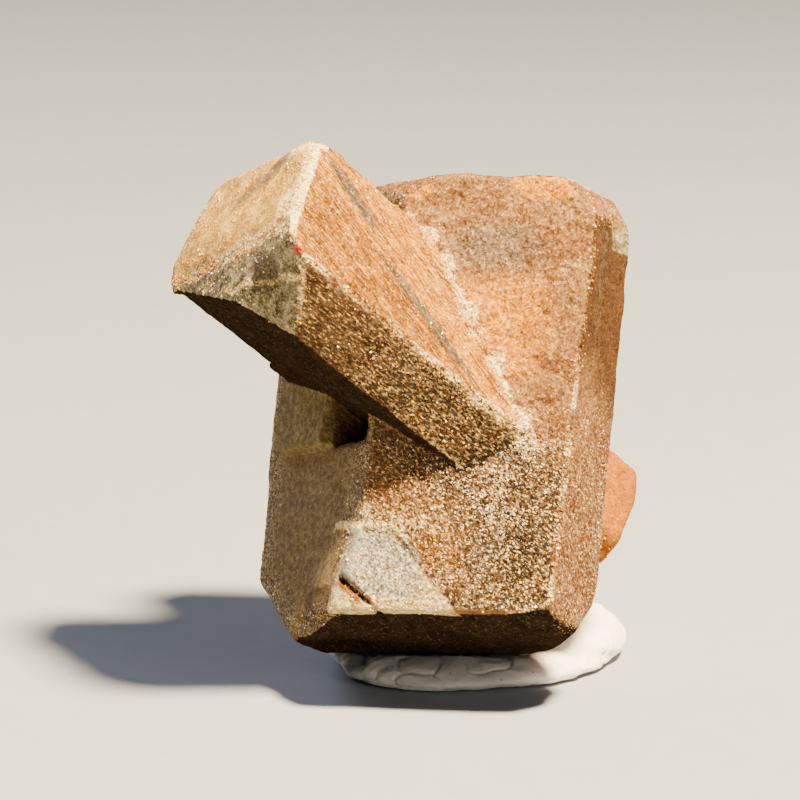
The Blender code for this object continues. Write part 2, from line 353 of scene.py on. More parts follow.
def crystalSurface(crystal, field):
    # A profile carried along the long axis: each ray ends where the field is zero, found in steps
    # from outside the flat faces inwards, and then by halving.
    origin, ray, faces = crystalRays(crystal)
    flat, offsets = worldPlanes(crystal)
    closing = ray @ flat.T
    gap = offsets - origin @ flat.T
    toFaces = np.where(closing > 0.02, gap / np.maximum(closing, 0.02), 99.0).min(1)
    wear = 0.22 + 0.14 * rough(origin + ray * toFaces[:, None], 1.7, 3, 5)    # how round the edges are
    outside = toFaces + 0.8
    inside = outside.copy()
    found = np.zeros(len(ray), bool)
    for step in range(34):
        here = np.where(found, inside, outside - 0.11)
        now = field(origin + ray * here[:, None], wear) < 0
        fresh = now & ~found
        inside = np.where(fresh, here, inside)
        outside = np.where(found | fresh, outside, here)
        found |= now
    for step in range(9):
        half = (inside + outside) / 2
        within = field(origin + ray * half[:, None], wear) < 0
        inside, outside = np.where(within, half, inside), np.where(within, outside, half)
    return origin + ray * inside[:, None], faces


# The fused crystals: marks and relief on their surface

twinLook = {
    "voxel": 0.075,        # mm, of the mesh that fuses the crystals
    "triangles": 192000,
    "lump": 0.050, "lumpSize": 1.9,
    "knob": 0.030, "knobSize": 0.62,
    "grain": 0.046, "grainSize": 0.33,
    "stria": 0.034, "striaSize": 0.20, "striaLength": 2.6,
    "striaSlant": 0.42,    # how far the arm's streaks lean from its axis
    "rimBeads": 0.095, "rimSize": 0.42, "rimWidth": 0.72,
    "shells": 0.05, "flakes": 0.055, "cleft": 0.10,
}
upperAcross = (0.791, -0.6115)    # across the arm's upper face, on its own first two axes
ridgeAcross = 2.31    # mm, the arm's ridge
chipBorder = {"slope": 0.62, "drop": 0.56}    # the chip's upper border, slanting over the arm's end
crackStart, crackTurn = (2.75, -8.16), (0.796, 0.605)    # on the upright's first and last axes


def facing(crystal, local):
    # the face each point lies on, and how near it is to that face's edge
    rows = faceDistances(crystal["faces"], local)
    order = np.sort(rows, axis=0)
    return rows.argmax(0), order[-1] - order[-2]


def onFaces(crystal, which, wanted):
    names = list(crystal["faces"])
    return np.isin(which, [names.index(name) for name in wanted]).astype(float)


def azimuths(crystal):
    return np.radians(np.array([face[0] for face in crystal["faces"].values()]))


def surfaceMarks(points):
    # every mark is 0 to 1 at each point; u are places on the upright's own axes, v on the arm's
    u, v = toLocal(upright, points), toLocal(arm, points)
    ux, uy, uz = u.T
    vx, vy, vz = v.T
    toUpright, toArm, toStub = (field(points, 0.2) for field in (uprightField, armField, stubField))
    toTwin = np.minimum(toArm, toStub)
    contact = np.maximum(toUpright, toTwin)    # distance from the line where the crystals meet
    isArm = (toTwin < toUpright).astype(float)
    isUpright, isStub = 1 - isArm, isArm * (toStub < toArm)
    uFace, uEdge = facing(upright, u)
    vFace, vEdge = facing(arm, v)

    def onUpright(*names):
        return isUpright * onFaces(upright, uFace, names)

    def onArm(*names):
        return isArm * onFaces(arm, vFace, names)

    def inBlock(block, outer, inner):
        return isUpright * eased(-blockField(block, u), -outer, -inner)

    def frontSpot(*place):
        return front * spot(ux, uz, *place)

    # the parts of each crystal
    front, upper, armFront = onUpright("front"), onArm("upper"), onArm("front")
    lowFront = front * eased(-uz, 0.5, 4.0)
    rightSide = onUpright("right", "rightEdge", "bottomRight")
    behind = onUpright("back", "rightBack", "leftBack", "topBack")
    patchEdge = insideFaces(patchBorder, u, 0.1)
    patch = isUpright * eased(uy, 4.10, 4.38)
    patch *= eased(-patchEdge + 0.24 * rolling(points, 0.7, 66), -0.16, 0.06)
    swollen = isUpright * eased(-insideFaces(swellFaces, u, 0.1), -0.15, 0.05)
    leftSide = np.maximum(onUpright("left"), swollen * (ux > 2.6)) * (1 - patch)
    block = inBlock(oliveBlock, 0.20, 0.02) * (ux > 2.9)
    hollow = inBlock(uprightBlocks["pocket"], 0.25, 0.05)
    acrossUpper = upperAcross[0] * vx + upperAcross[1] * vy
    lean = acrossUpper + twinLook["striaSlant"] * vz    # across the arm's streaks
    chipLine = vy - chipBorder["slope"] * vx + chipBorder["drop"] + 0.16 * rolling(points, 0.8, 27)
    scooped = isArm * eased(-np.minimum(*(scoopField(scoop, v) for scoop in chipScoops)), -0.10, 0.02)
    chip = np.maximum(onArm("chip", "chipShoulder"), scooped) * eased(-chipLine, -0.14, 0.14)
    cap = onArm("end", "endRim", "endHeel", "chipShoulder") * (1 - chip)

    # the undersides, painted in shade, and a painted shadow line where the arm's tip meets the upright
    below = onUpright("bottom", "bottomFront", "heel") * (1 - patch)
    below = np.maximum(below, isUpright * eased(-uz, 9.30, 9.42) * (uy < 4.46) * (ux < 2.7))
    below = np.maximum(below, onArm("under", "backLower"))
    tipShadow = eased(-contact, -0.20, -0.02) * (1 - eased(vy, 0.6, 1.3)) * eased(vy, -2.6, -2.0) * (vz < -4.5)
    tipShadow *= np.maximum(front, armFront)

    # the crack in the patch, and the thin cleft that carries it on
    fromX, fromZ = ux - crackStart[0], uz - crackStart[1]
    crackRun = -crackTurn[0] * fromX - crackTurn[1] * fromZ
    crackSide = crackTurn[1] * fromX - crackTurn[0] * fromZ
    crack = eased(crackRun, -0.10, 0.25) * eased(-crackRun, -1.65, -1.20) * eased(crackSide, -0.06, 0.04)
    crack *= isUpright * (uy > 3.6) * eased(-crackSide, -0.38, -0.24)
    cleft = isUpright * (uy > 3.6) * nearTo(crackSide - 0.04 * np.maximum(crackRun - 1.3, 0), 0.13, 0.03)
    cleft *= eased(crackRun, -0.15, 0.10) * eased(-crackRun, -2.60, -2.30)

    # crust along the meeting line, the ridge and the edges, and a painted highlight with crust on the patch's
    # upper lip
    rim = eased(-(contact + rolling(points, 0.9, 31) * 0.22), -twinLook["rimWidth"], -0.12) * (1 - isStub)
    rim *= np.where(isArm > 0, 0.75 * upper, np.clip(front + behind, 0, 1))
    rim *= eased(vy, 0.2, 1.2)    # no crust in the shade under the arm
    ridge = onArm("upper", "front") * (np.abs(acrossUpper - ridgeAcross) < 1.2) * (vz < 4.6)
    ridge *= nearTo(vEdge, 0.24 + 0.26 * eased(-vz, 2.0, 6.0), 0.03)
    capEdge = nearTo(vEdge, 0.62, 0.22) * eased(vz, 4.6, 5.0)
    capEdge *= onArm("upper", "end") * eased(vy + 0.6 * vx, 2.6, 3.6) * (1 - scooped)
    chipRim = cap * eased(-chipLine, -1.10, -0.25) * eased(chipLine, -0.1, 0.1)
    frontal = isUpright * (uy > 3.0)
    rightEdge = frontal * nearTo(uEdge, 0.26, 0.03) * (ux < -4.6) * eased(uz, -9.1, -8.4)
    leftEdge = frontal * nearTo(uEdge, 0.34, 0.06) * (ux > 1.2) * (uz < -1.2) * (uz > -5.8)
    # a painted highlight along the patch's upper lip, laid on as cream crust
    litLip = isUpright * (uy > 3.4) * nearTo(patchEdge - 0.06, 0.24, 0.06) * eased(uz, -6.9, -6.2)
    # a painted shadow of the step along the patch's right border, drawn as a dark line
    stepShadow = isUpright * (uy > 3.4) * nearTo(patchEdge + 0.04, 0.16, 0.02)
    stepShadow *= eased(-uz, 5.9, 6.5) * eased(uz, -9.1, -8.8) * eased(-ux, -1.2, -0.6)
    footEdge = isUpright * (uy > 4.40) * nearTo(uEdge, 0.50, 0.05) * eased(-uz, 8.4, 9.0)

    sparkle = lowFront * (0.42 + 0.58 * spot(ux, uz, (-3.7, -4.4), (2.9, 3.4), 0.7))
    sparkle += 0.55 * rightSide * eased(-uz, -1.0, 3.0) + 0.25 * upper + 0.5 * ridge + 0.25 * front
    sparkle += 0.5 * armFront * eased(-vz, -2.0, 3.0) + 0.8 * chipRim + 0.3 * chip
    sparkle += 0.6 * leftSide * nearTo(uEdge, 1.5, 0.1)
    sparkle *= 1 - 0.35 * patch
    sparkle += 0.45 * behind + 0.20 * onUpright("top", "topLeft", "topRight")
    # a spot on the lower front with pale grains and painted glints, as whiter flecks
    whiteGlints = frontSpot((-3.2, -4.6), (1.5, 2.0), 0.9) * eased(rough(points, 0.9, 2, 63), -0.8, 0.4)
    glassy = frontSpot((-4.25, -6.9), (0.62, 1.35))

    orange = 0.9 * frontSpot((-4.5, 7.9), (1.5, 0.75)) + 0.7 * frontSpot((0.9, 7.6), (0.9, 0.7))
    orange += 0.75 * frontSpot((-2.9, 2.2), (2.4, 2.9), 0.8) + 0.85 * upper
    orange += 0.55 * cap * spot(vx, vy, (-3.8, 3.9), (0.9, 0.9))
    orange += frontSpot((-5.15, -8.1), (0.42, 0.40)) + crack
    orange += 0.5 * frontSpot((-5.0, -4.2), (0.9, 1.6), 0.8)
    orange += 0.5 * frontSpot((-1.0, -6.9), (1.9, 1.4), 0.9) * (1 - patch)

    streak = lean + 0.06 * rolling(points, 0.9, 58)
    grey = 0.75 * frontSpot((-2.7, 5.1), (2.3, 1.5), 0.9)
    grey += 1.1 * upper * spot(streak, vz, (-0.17, -1.9), (0.32, 2.7), 0.6)
    grey += 0.9 * upper * spot(streak, vz, (-1.15, 2.9), (0.44, 1.7), 0.8)
    grey += 0.85 * cap * spot(0.4 * vy - 0.92 * vx, 0.92 * vy + 0.4 * vx, (3.3, 1.8), (0.60, 3.0), 0.9)
    # painted shade in the hollow of the chip's scoop, as a grey spot
    grey += 1.3 * chip * nearTo(np.linalg.norm(v - (2.7, -0.1, 4.8), axis=1), 1.25, 0.35)
    grey += 0.30 * behind * eased(rough(points, 4.0, 2, 44), -0.2, 0.8)
    grey += 0.6 * frontSpot((-3.0, -7.2), (1.3, 1.0), 0.8)

    # shade: dark mineral on the arm's front, the lower front, the glassy and glint spots and the right side's
    # lower part, darker on the left, the back and the swell's foot; painted shade in the pocket and in the
    # groove by the right edge
    shade = armFront * (0.70 + 0.20 * eased(-vz, -1.0, 5.0)) + 0.35 * leftSide * (1 - block) + hollow
    shade += 0.8 * glassy + 0.25 * behind + 0.45 * lowFront + inBlock(uprightBlocks["edgeGroove"], 0.25, 0.02)
    shade += 0.40 * rightSide * eased(-uz, -1.0, 3.0) + 0.25 * whiteGlints
    # painted shadow of the arm on the front just below it
    shade += 0.5 * front * eased(contact, 1.6, 0.2) * eased(-vy, -1.0, 0.4)
    shade += 0.90 * frontSpot((-4.5, -6.4), (1.5, 2.8), 0.9)
    # painted shade just above the front's bottom edge
    shade += 0.5 * front * eased(-uz, 8.4, 9.0) * eased(-ux, -0.2, 0.8)
    shade += 0.9 * swollen * eased(-uz, 8.2, 8.9) * eased(ux, 0.8, 2.2)
    shade = shade * (1 - 0.6 * ridge) * (1 - rightEdge) * (1 - patch)

    ruddy = rightSide * eased(uz + 0.5 * rolling(points, 1.6, 47), -2.6, 1.6)
    ruddy *= 1 - 0.45 * spot(uy, uz, (3.6, 0.4), (0.7, 2.6), 0.9)
    mossy = block + 0.4 * inBlock(lowerBand, 0.25, 0.02)
    mossy += 0.35 * leftSide * eased(rough(points, 2.2, 2, 8), 0.0, 0.9)
    clumps = eased(rough(points, 0.85, 2, 61), -0.75, 0.55)    # thick and thin stretches of crust
    # the patch's lip adds a painted highlight to the crust and the cream
    crust = rim + 0.75 * ridge + capEdge + 0.45 * leftEdge + 1.1 * litLip + 0.9 * footEdge + 0.9 * chipRim
    crust = clumps * crust + (0.35 + 0.65 * clumps) * rightEdge * (0.60 + 0.35 * eased(-uz, -2.0, 2.0))
    cream = 0.80 * crust + 1.4 * capEdge + 0.35 * chipRim + 0.35 * ridge + 0.7 * litLip
    cream += 0.62 * cap * nearTo(chipBorder["slope"] * vx - vy - 0.25, 1.5, 0.3) * eased(vx, -1.8, 0.2)
    cream += 0.8 * chip * nearTo(chipLine + 1.45 + 0.25 * rolling(points, 1.1, 29), 0.24, 0.04)
    cream += 0.45 * frontSpot((0.6, -6.0), (2.4, 0.9), 0.8) * (1 - patch)
    marks = dict(
        arm=isArm, stub=isStub, patch=patch, rim=rim, chip=chip, sparkle=sparkle,
        orange=orange, grey=grey, shade=shade, cream=cream, glassy=glassy,
        olive=chip + 0.55 * inBlock(uprightBlocks["cornerChip"], 0.3, 0.05),
        streaked=upper + 0.55 * armFront + 0.12 * leftSide + 0.5 * rightSide + 0.3 * isStub,
        upper=upper, hollow=hollow, ruddy=ruddy,
        golden=np.maximum(rightSide, isArm) * (1 - chip),
        # darker grey-brown on the left face, and towards the cap's lower left
        dullBrown=leftSide * (1 - block) + 0.5 * cap * eased(-(vx + vy), 0.3, 3.6),
        crust=crust, strip=upper * eased(lean + 0.15 * rolling(points, 1.3, 52), -0.45, 0.0),
        # edge carries the painted highlight on the patch's lip; cleft carries the painted shadow of its right
        # step
        mossy=mossy, whiteGlints=whiteGlints, edge=capEdge + 0.6 * litLip, cleft=cleft + 0.5 * stepShadow,
        # under: painted shade on the undersides, and the painted shadow line at the arm's tip
        cap=cap * (1 - 0.7 * chip), under=np.maximum(below * (1 - footEdge), 0.9 * tipShadow),
        crack=crack, smooth=front * (1 - lowFront),
        warmPatch=patch * np.maximum(0.8 * eased(-ux, -0.4, 1.0), eased(-uz, 8.5, 9.3)),
        redSpeck=isArm * nearTo(np.linalg.norm(v - (4.08, 1.42, 4.42), axis=1), 0.24, 0.12),
    )
    marks = {name: np.clip(value, 0.0, 1.0) for name, value in marks.items()}
    grown = np.where(isArm[:, None] > 0, v, u)
    angle = np.where(isArm > 0, azimuths(arm)[vFace], azimuths(upright)[uFace])
    across = grown[:, 0] * np.sin(angle) - grown[:, 1] * np.cos(angle)
    drawn = np.stack([np.where(upper > 0, lean, across), grown[:, 2], 0 * across], 1)
    return marks, grown, drawn


def reliefHeight(points, marks, grown, drawn):
    # lumps, knobs and rounded grains everywhere; ribs where a face is streaked; beads on the rim
    look = twinLook
    height = look["lump"] * rough(points, look["lumpSize"], 2, 3)
    height += look["knob"] * rough(points, look["knobSize"], 2, 21) * (1 - 0.5 * marks["patch"])
    nearest, owner = nearestCell(points, look["grainSize"], 57)
    rounded = (0.55 - nearest) * (0.6 + 0.8 * owner)
    coarse = 0.35 + 0.75 * marks["sparkle"] + 0.5 * marks["shade"] - 0.4 * marks["stub"]
    height += look["grain"] * rounded * np.clip(coarse - 0.35 * marks["patch"], 0.1, 1.3)
    ribbed = drawn * np.array((1 / look["striaSize"], 1 / look["striaLength"], 0))
    ribs = rolling(ribbed, 1.0, 71) + 0.6 * rolling(ribbed * np.array((2.1, 1.7, 1)), 1.0, 72)
    height += look["stria"] * ribs * marks["streaked"] * (0.45 + 0.55 * marks["upper"])
    nearest, owner = nearestCell(points, look["rimSize"], 83)
    beads = np.clip(0.72 - nearest, 0, 1) * (0.5 + owner)
    height += marks["rim"] * (look["rimBeads"] * beads + 0.05)
    across, up, along = grown.T
    shells = np.abs(((along * 0.9 - across * 0.35 + 0.25 * rolling(points, 1.6, 91)) * 2.1) % 1 - 0.5)
    height += look["shells"] * marks["chip"] * (shells - 0.25)
    flakes = np.floor((up * 0.4 + across * 0.8 + 0.9 * rough(points, 1.9, 2, 96)) * 1.7)
    height += look["flakes"] * marks["patch"] * (latticeHash(np.stack([flakes] * 3, 1), 5) - 0.5)
    return height - look["cleft"] * marks["cleft"]


# Meshes

def newObject(name, data):
    made = bpy.data.objects.new(name, data)
    bpy.context.scene.collection.objects.link(made)
    return made


def applied(piece, kind, **settings):
    # adds a modifier, and keeps its result as the piece's own mesh
    added = piece.modifiers.new(kind.title(), kind)
    for name, value in settings.items():
        setattr(added, name, value)
    mesh = bpy.data.meshes.new_from_object(piece.evaluated_get(bpy.context.evaluated_depsgraph_get()))
    piece.modifiers.clear()
    old, piece.data = piece.data, mesh
    bpy.data.meshes.remove(old)
    return piece


def fused(name, surfaces, voxel):
    # closed surfaces laid into one mesh, and made one body by a voxel remesh
    points, faces, count = [], [], 0
    for grid, kinds in surfaces:
        for corners in kinds:
            faces += (corners + count).tolist()
        points.append(grid)
        count += len(grid)
    mesh = bpy.data.meshes.new(name)
    mesh.from_pydata(np.concatenate(points) * mm, [], faces)
    return applied(newObject(name, mesh), "REMESH", mode="VOXEL", voxel_size=voxel * mm)


def thinned(piece, triangles):
    share = triangles / (len(piece.data.polygons) * 2)
    return applied(piece, "DECIMATE", ratio=min(1.0, share), use_collapse_triangulate=True)


def readPoints(mesh):
    # the points, in millimetres, and their normals
    points, normals = np.empty((2, len(mesh.vertices) * 3))
    mesh.vertices.foreach_get("co", points)
    mesh.vertices.foreach_get("normal", normals)
    return points.reshape(-1, 3) / mm, normals.reshape(-1, 3)


def movePoints(piece, points):
    piece.data.vertices.foreach_set("co", (points * mm).ravel())
    piece.data.update()


def keepInside(points, margin, soft):
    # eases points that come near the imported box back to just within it
    middle = np.array((cadLow + cadHigh) / 2) / mm
    half = np.array((cadHigh - cadLow) / 2) / mm - margin
    away = points - middle
    over = np.abs(away) - (half - soft)
    held = half - soft + soft * (1 - np.exp(-np.maximum(over, 0) / soft))
    return middle + np.where(over > 0, np.sign(away) * held, away)


def writeMarks(mesh, marks):
    # one attribute for each: a number, or three for a vector
    for name, values in marks.items():
        kind, field = ("FLOAT", "value") if values.ndim == 1 else ("FLOAT_VECTOR", "vector")
        mesh.attributes.new(name, kind, "POINT").data.foreach_set(field, values.astype(np.float32).ravel())


def twinSolid():
    fields = (upright, uprightField), (arm, armField), (stub, stubField)
    surfaces = [crystalSurface(crystal, field) for crystal, field in fields]
    stage("crystal surfaces laid out")
    piece = fused("staurolite_crystals", surfaces, twinLook["voxel"])
    stage(f"fused into {len(piece.data.vertices)} points")
    points, normals = readPoints(piece.data)
    points = points + normals * reliefHeight(points, *surfaceMarks(points))[:, None]
    movePoints(piece, keepInside(points, 0.02, 0.30))
    stage("relief raised")
    thinned(piece, twinLook["triangles"])
    stage(f"thinned to {len(piece.data.polygons)} triangles")
    return piece


crystals = twinSolid()
marks, _, drawn = surfaceMarks(readPoints(crystals.data)[0])
writeMarks(crystals.data, {**marks, "drawn": drawn})
crystals.data.shade_smooth()
stage("marks written")


# Materials

def linear(colour):
    # a screen colour, 0 to 255, as the linear values a shader takes
    part = np.array(colour) / 255
    part = np.where(part <= 0.04045, part / 12.92, ((part + 0.055) / 1.055) ** 2.4)
    return (*part.tolist(), 1.0)


class Material:
    # most methods add one node, and give back its output

    def __init__(self, name, tints):
        self.made = bpy.data.materials.new(name)
        self.made.use_nodes = True
        self.tree = self.made.node_tree
        self.tree.nodes.clear()
        self.shader = self.tree.nodes.new("ShaderNodeBsdfPrincipled")
        self.add("OutputMaterial", {"Surface": self.shader.outputs[0]})
        self.place = self.vector("SCALE", self.add("TexCoord")["Object"], 1 / mm)    # millimetres
        self.tints = {name: linear(colour) for name, colour in tints.items()}
        self.colour = None

    def plug(self, node, values):
        # a node's output is linked; anything else is set on the socket
        for name, value in values.items():
            if isinstance(value, bpy.types.NodeSocket):
                self.tree.links.new(value, node.inputs[name])
            else:
                node.inputs[name].default_value = value

    def add(self, kind, values=None, **settings):
        node = self.tree.nodes.new("ShaderNode" + kind)
        for name, value in settings.items():
            setattr(node, name, value)
        self.plug(node, values or {})
        return node.outputs

    def maths(self, operation, first, second, clamp=False):
        return self.add("Math", {0: first, 1: second}, operation=operation, use_clamp=clamp)[0]

    def times(self, first, second):
        return self.maths("MULTIPLY", first, second)

    def vector(self, operation, first, second=(0.0, 0.0, 0.0)):
        values = {0: first, "Scale" if operation == "SCALE" else 1: second}
        return self.add("VectorMath", values, operation=operation)[0]

    def ramp(self, value, low, high, out=(0.0, 1.0)):
        values = {"Value": value, "From Min": low, "From Max": high, "To Min": out[0], "To Max": out[1]}
        return self.add("MapRange", values, interpolation_type="SMOOTHSTEP")[0]

    def blend(self, factor, first, second, kind="MIX"):
        # a colour may be given by the name of its tint
        first, second = (self.tints[part] if isinstance(part, str) else part for part in (first, second))
        values = {0: factor, 6: first, 7: second}
        return self.add("Mix", values, data_type="RGBA", blend_type=kind, clamp_factor=True)[2]

    def paint(self, factor, colour, kind="MIX"):
        # lays a colour over those before it
        self.colour = self.blend(factor, self.colour, colour, kind)

    def mark(self, name, output="Fac"):
        return self.add("Attribute", attribute_name=name)[output]

    def noise(self, vector, size, detail, roughness, output="Fac"):
        # size is the width of the pattern in millimetres
        values = {"Vector": vector, "Scale": 1 / size, "Detail": detail, "Roughness": roughness}
        return self.add("TexNoise", values)[output]

    def grains(self, vector, size, output="Distance"):
        return self.add("TexVoronoi", {"Vector": vector, "Scale": 1 / size})[output]

    def bump(self, height, distance, strength, under=None):
        # distance is the height of a full step, in millimetres
        values = {"Height": height, "Distance": distance * mm, "Strength": strength}
        if under is not None:
            values["Normal"] = under
        return self.add("Bump", values)[0]

    def ragged(self, value, breakup, reach):
        # a mark whose border follows a noise instead of the mesh
        moved = self.times(self.maths("SUBTRACT", breakup, 0.5), 2 * reach)
        return self.ramp(self.maths("ADD", value, moved), 0.28, 0.78)


skinZones = {    # mark: its dark and light colour, and how fully it covers
    "orange": ((154, 88, 0), (222, 146, 0), 0.94), "ruddy": ((50, 30, 18), (84, 50, 26), 0.92),
    "dullBrown": ((98, 80, 54), (144, 121, 86), 0.92), "cap": ((170, 112, 40), (240, 196, 100), 0.92),
    "stub": ((140, 74, 4), (170, 98, 14), 0.90), "strip": ((104, 56, 2), (178, 112, 6), 0.92),
    "mossy": ((90, 78, 50), (138, 120, 78), 0.95), "olive": ((78, 72, 52), (182, 168, 128), 0.95),
    # shade is dark mineral with painted shade; hollow and under are painted shade in the pocket and on the
    # undersides
    "grey": ((70, 62, 54), (110, 100, 88), 0.75), "shade": ((36, 26, 20), (96, 70, 48), 0.84),
    "hollow": ((60, 38, 24), (112, 74, 46), 1.0), "under": ((13, 11, 10), (34, 28, 24), 0.98),
}
skinTints = {
    "rust": (102, 64, 34), "tan": (140, 100, 60), "brick": (116, 66, 34), "blush": (172, 130, 92),
    "umber": (36, 22, 14), "bark": (78, 46, 20), "black": (14, 11, 9), "gold": (216, 152, 40),
    "cream": (246, 214, 146), "chalk": (255, 236, 182), "ember": (88, 38, 2), "flame": (122, 68, 0),
    # (255, 250, 236) is the near-white of painted glints on the lower front
    "honey": (240, 184, 84), "whiteGlints": (255, 250, 236), "butter": (255, 240, 170), "iron": (104, 92, 80),
    "soot": (52, 45, 40), "slate": (142, 140, 134), "ash": (188, 180, 158), "bone": (206, 188, 140),
    "straw": (190, 150, 78), "moss": (138, 114, 74), "lead": (96, 86, 70), "red": (206, 14, 10),
    "copper": (255, 190, 110), "ivory": (255, 240, 214),
}
fleckTurn = -40    # degrees, the slant of the short strokes that lie across the faces


def skinMaterial():
    skin = Material("staurolite_skin", skinTints)
    place, noise, mark, ramp = skin.place, skin.noise, skin.mark, skin.ramp
    blend, paint, times, ragged = skin.blend, skin.paint, skin.times, skin.ragged
    sparkle, streaked, upper, patch, smooth, shade = (
        mark(name) for name in ("sparkle", "streaked", "upper", "patch", "smooth", "shade"))
    rocky = skin.maths("SUBTRACT", 1.0, smooth)

    wide = noise(place, 2.6, 3.0, 0.55)
    middling = noise(place, 0.85, 4.0, 0.62)
    breakup = noise(place, 0.40, 5.0, 0.70)
    stirred = skin.vector("ADD", place, skin.vector("SCALE", noise(place, 0.15, 2.0, 0.5, "Color"), 0.10))
    turn = {"Vector": stirred, "Angle": math.radians(fleckTurn)}
    turned = skin.add("VectorRotate", turn, rotation_type="Y_AXIS")[0]
    fleck = noise(skin.vector("MULTIPLY", turned, (0.38, 0.80, 1.0)), 0.076, 3.0, 0.72)
    speck = noise(stirred, 0.23, 3.0, 0.70)
    cellColour = skin.grains(stirred, 0.080, "Color")
    tone, chance, third = skin.add("SeparateColor", {0: cellColour})
    drawn = mark("drawn", "Vector")
    fibres = noise(skin.vector("MULTIPLY", drawn, (1.0, 0.07, 1.0)), 0.075, 3.0, 0.65)
    slivers = noise(skin.vector("MULTIPLY", drawn, (1.0, 0.30, 1.0)), 0.080, 2.0, 0.60)
    bands = noise(skin.vector("MULTIPLY", drawn, (1.0, 0.06, 1.0)), 0.24, 3.0, 0.62)

    # broad colours, each mottled between a dark and a light one
    blotchy = skin.maths("ADD", times(middling, 0.55), times(speck, 0.45))
    skin.colour = blend(ramp(blotchy, 0.41, 0.58), "rust", "tan")
    paint(ramp(wide, 0.42, 0.64, (0.0, 0.70)), "brick")
    paint(times(ramp(breakup, 0.54, 0.68), 0.50), "blush")
    patterns = {"dullBrown": speck, "mossy": speck, "shade": breakup, "olive": breakup}
    for name, (dark, light, strength) in skinZones.items():
        mottled = blend(ramp(patterns.get(name, blotchy), 0.36, 0.64), linear(dark), linear(light))
        paint(times(ragged(mark(name), breakup, 0.40), strength), mottled)

    # lines drawn along the streaked faces
    paint(times(ramp(bands, 0.52, 0.62), times(upper, 0.80)), "ember")
    paint(times(ramp(fibres, 0.53, 0.62), times(streaked, 0.70)), "umber")
    paint(times(ramp(fibres, 0.43, 0.36), times(upper, 0.80)), blend(tone, "gold", "honey"))
    streaks = times(ragged(mark("grey"), fibres, 0.35), upper)
    paint(times(streaks, 0.8), blend(ramp(fibres, 0.40, 0.60), "iron", "soot"))

    # the broken pale patch, warmer towards its lower right, and the crack in it
    ashen = blend(ramp(middling, 0.42, 0.62), "slate", "ash")
    warm = blend(ramp(breakup, 0.40, 0.60), "straw", "bone")
    ashen = blend(ragged(mark("warmPatch"), breakup, 0.30), ashen, warm)
    ashen = blend(ramp(speck, 0.52, 0.64, (0.0, 0.60)), ashen, "moss")
    ashen = blend(ramp(fleck, 0.56, 0.68, (0.0, 0.50)), ashen, "lead")
    ashen = blend(ramp(fleck, 0.46, 0.36, (0.0, 0.60)), ashen, "chalk")
    paint(ragged(patch, breakup, 0.35), ashen)
    paint(mark("crack"), blend(ramp(speck, 0.36, 0.50), "ember", "flame"))
    # the crack's cleft, and a painted shadow line along the patch's right step
    paint(mark("cleft"), "black")

    # cream crust, thickest on the rims and edges, in separate grains
    cream = ragged(mark("cream"), breakup, 0.55)
    paint(times(cream, ramp(fleck, 0.66, 0.50)), blend(tone, "gold", "chalk"))
    # butter on the cap's edge, and a painted highlight on the patch's lip
    paint(times(ragged(mark("edge"), fleck, 0.30), 0.8), "butter")

    # grains: each with its own lightness, the sparkling zones with the most contrast
    contrast = skin.maths("ADD", times(sparkle, 0.95), 0.25, True)
    lightness = ramp(tone, 0.0, 1.0, (0.40, 1.40))
    plain = skin.add("CombineColor", dict.fromkeys(range(3), lightness))[0]
    paint(contrast, plain, "MULTIPLY")
    paint(times(ramp(fleck, 0.50, 0.59), times(contrast, 0.95)), blend(shade, "bark", "umber"))
    shreds = times(shade, mark("arm"))
    paint(times(ramp(slivers, 0.55, 0.63), shreds), "black")
    paint(times(ramp(slivers, 0.43, 0.36), shreds), blend(tone, "gold", "cream"))
    paint(times(ramp(speck, 0.40, 0.62), mark("glassy")), "black")
    # pale grains and painted glints: light flecks where it sparkles, whitest in the spot on the lower front
    bright = times(ramp(fleck, 0.435, 0.365), skin.maths("ADD", times(sparkle, 1.1), 0.08, True))
    paint(times(bright, rocky), blend(times(mark("whiteGlints"), 0.8), blend(third, "gold", "chalk"), "whiteGlints"))
    paint(times(times(ramp(speck, 0.44, 0.34), smooth), 0.55), "blush")
    paint(mark("redSpeck"), "red")

    # glints: in some grains the facet is smooth, and tilted its own way
    glint = times(ramp(chance, 0.55, 0.75), contrast)
    dull = skin.maths("SUBTRACT", 0.66, times(glint, 0.44))
    # no sheen on the undersides, where shade is painted
    lit = skin.maths("SUBTRACT", 1.0, mark("under"))
    normal = skin.bump(skin.grains(stirred, 0.27), 0.06, 0.7)
    normal = skin.bump(times(bands, streaked), 0.16, 0.8, normal)
    normal = skin.bump(times(fibres, streaked), 0.06, 0.9, normal)
    normal = skin.bump(times(fleck, skin.maths("ADD", rocky, 0.35)), 0.09, 1.0, normal)
    facets = skin.vector("SUBTRACT", cellColour, (0.5, 0.5, 0.5))
    facets = skin.vector("SCALE", facets, skin.maths("ADD", times(contrast, 0.80), 0.06))
    skin.plug(skin.shader, {
        "Base Color": skin.colour,
        "Roughness": skin.maths("ADD", dull, times(mark("glassy"), -0.15), True),
        "Specular IOR Level": times(skin.maths("ADD", times(glint, 0.70), 0.10), lit),
        "Specular Tint": blend(glint, "copper", "ivory"),
        "Normal": skin.vector("NORMALIZE", skin.vector("ADD", normal, facets)),
    })
    return skin.made


crystals.data.materials.append(skinMaterial())
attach(crystals, "root")
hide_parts("staurolite_twin")
stage("crystals finished")


# Loose grains of quartz and mica on the crust, the ridge and the sparkling faces

grainLook = {
    "count": 15000, "sides": 5, "seed": 11,
    "radius": (0.018, 0.066), "fewLarge": 3.4,    # mm, and the power that makes large ones rare
}
grainPlaces = {    # how thickly they lie on each mark
    "crust": 1.2, "sparkle": 0.24, "whiteGlints": 0.8, "patch": 0.10, "cap": 0.12, "chip": 0.05, "arm": 0.05,
}
grainTints = {
    "pale": (252, 228, 184), "honey": (236, 176, 78), "amber": (190, 124, 34), "smoke": (120, 108, 100),
}


